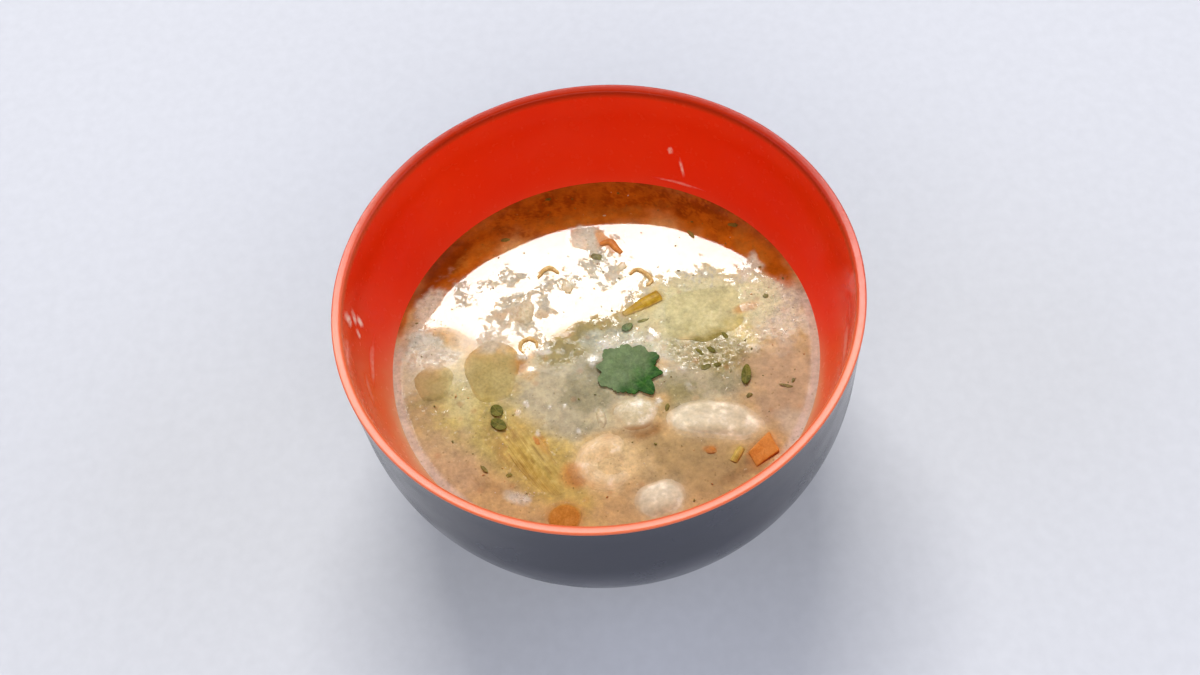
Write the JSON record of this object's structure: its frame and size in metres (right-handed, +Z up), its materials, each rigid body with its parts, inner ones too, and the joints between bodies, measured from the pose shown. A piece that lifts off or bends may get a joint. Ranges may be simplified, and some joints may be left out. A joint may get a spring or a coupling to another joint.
{
  "type": "tom yum soup",
  "caption": "Small lacquered bowl with a foot ring, filled with cloudy hot and sour soup in which prawn, chicken, mushroom, carrot, root slices, lemongrass and herb leaves float.",
  "frame": {"origin": "on the table, at the middle of the bowl's foot ring", "axes": "+Z up out of the bowl, +Y towards the far side of the bowl, +X to the eater's right"},
  "size_m": [0.12, 0.12, 0.066],
  "materials": {
    "bowl_lacquer": "gloss lacquer, vermilion inside and over the lip, near black outside",
    "broth": "wet, cloudy tan broth",
    "fresh_herb": "wet green leaf",
    "cooked_herb": "wet olive leaf",
    "cabbage": "wet pale leaf",
    "root": "wet cut root",
    "lemongrass": "wet fibrous stalk",
    "ginger": "wet cut root",
    "prawn": "wet cooked flesh",
    "chicken": "wet cooked flesh",
    "mushroom": "wet cooked mushroom",
    "carrot": "wet cut carrot",
    "shallot": "wet translucent shred",
    "chilli": "wet skin"
  },
  "bodies": {
    "root": {"bowl": "bowl_lacquer", "broth": "broth", "coriander_leaf": "fresh_herb", "coriander_sprig": "fresh_herb", "lime_leaf_upper": "cooked_herb", "lime_leaf_lower": "cooked_herb", "basil_leaf": "cooked_herb", "cabbage_leaf": "cabbage", "galangal_slice_large": "root", "galangal_slice_small": "root", "lemongrass_sheath": "lemongrass", "spring_onion": "lemongrass", "ginger_strip": "ginger", "prawn": "prawn", "chicken_strip": "chicken", "chicken_piece": "chicken", "mushroom_cap": "mushroom", "mushroom_shred": "mushroom", "mushroom_piece": "mushroom", "carrot_block": "carrot", "carrot_round": "carrot", "shallot_curl_right": "shallot", "shallot_curl_left": "shallot", "shallot_curl_middle": "shallot", "chilli_strip": "chilli"}
  },
  "joints": []
}
